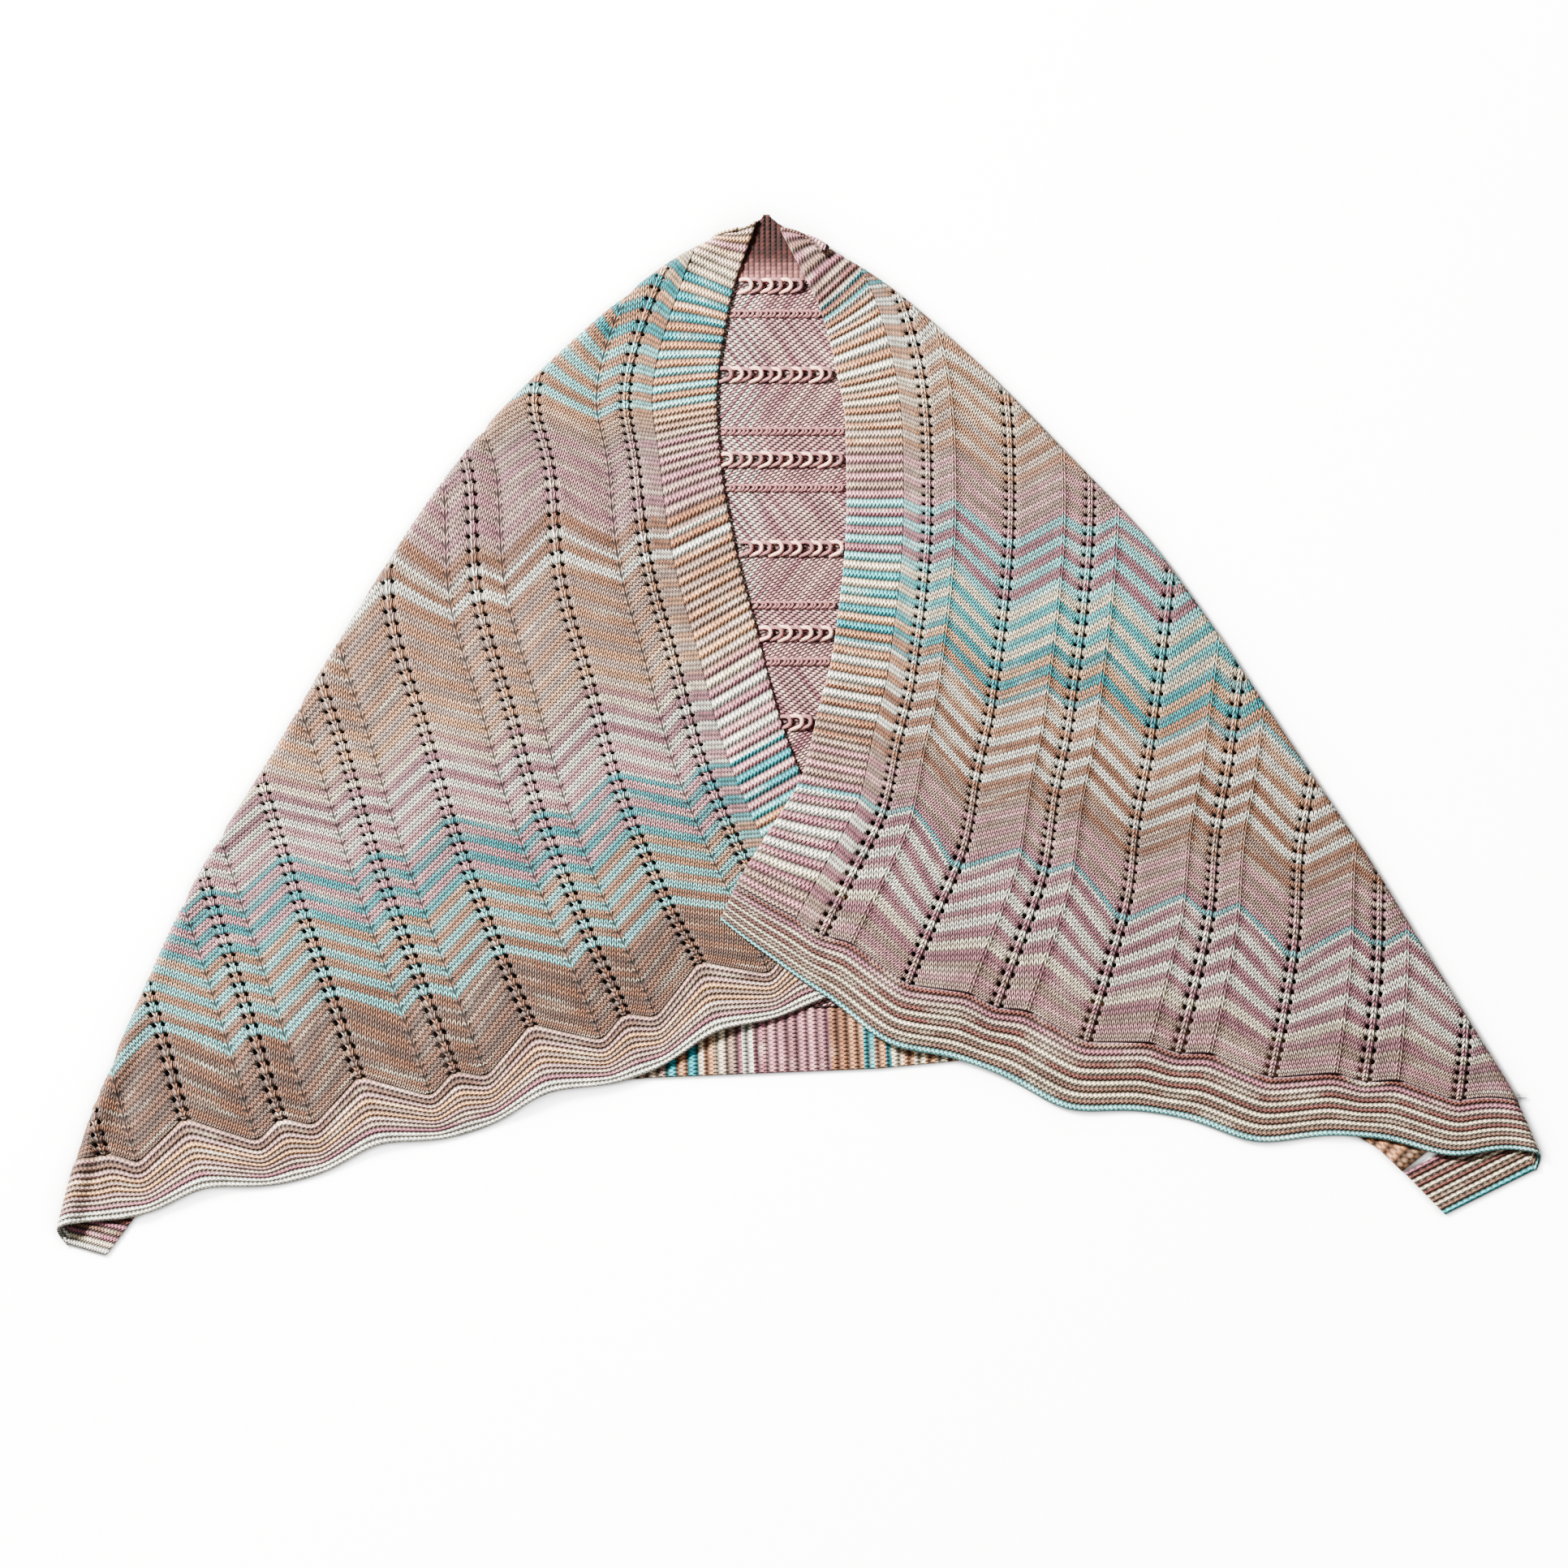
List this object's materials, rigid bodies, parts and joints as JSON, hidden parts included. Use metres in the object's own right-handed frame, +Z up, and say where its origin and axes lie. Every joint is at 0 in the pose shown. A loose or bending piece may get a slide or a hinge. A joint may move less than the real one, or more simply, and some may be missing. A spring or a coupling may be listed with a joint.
{
  "type": "knitted wrap",
  "caption": "Rectangular hand-knitted lace wrap in chevron stripes with garter borders, laid flat with both ends folded forwards into an overlapping V neck.",
  "frame": {"origin": "middle of the wrap's length and width as it lies, on the surface it lies on", "axes": "+X along the wide hem, +Y from the hem towards the back neck, +Z up from the surface"},
  "size_m": [1.275, 0.896, 0.016],
  "materials": {
    "chevron_knit": "two self-striping wools, two rows of each in turn: turquoise, white, greige, mauve and tan",
    "back_knit": "wrong side of the same knitting, pink and mauve with pale streaks",
    "garter_knit": "garter ridges in the same two wools",
    "end_knit": "garter ridges, cream and brown in turn",
    "under_knit": "wrong side of the end band, brown and cream ridges"
  },
  "bodies": {
    "root": {"back_panel": "back_knit", "back_neck_band": "garter_knit", "back_hem_band": "garter_knit", "left_front": "chevron_knit", "right_front": "chevron_knit", "left_neck_band_lower": "garter_knit", "left_neck_band_upper": "garter_knit", "right_neck_band_lower": "garter_knit", "right_neck_band_upper": "garter_knit", "left_end_band": "end_knit", "right_end_band": "end_knit", "left_under_corner": "under_knit", "right_under_corner": "under_knit"}
  },
  "joints": []
}
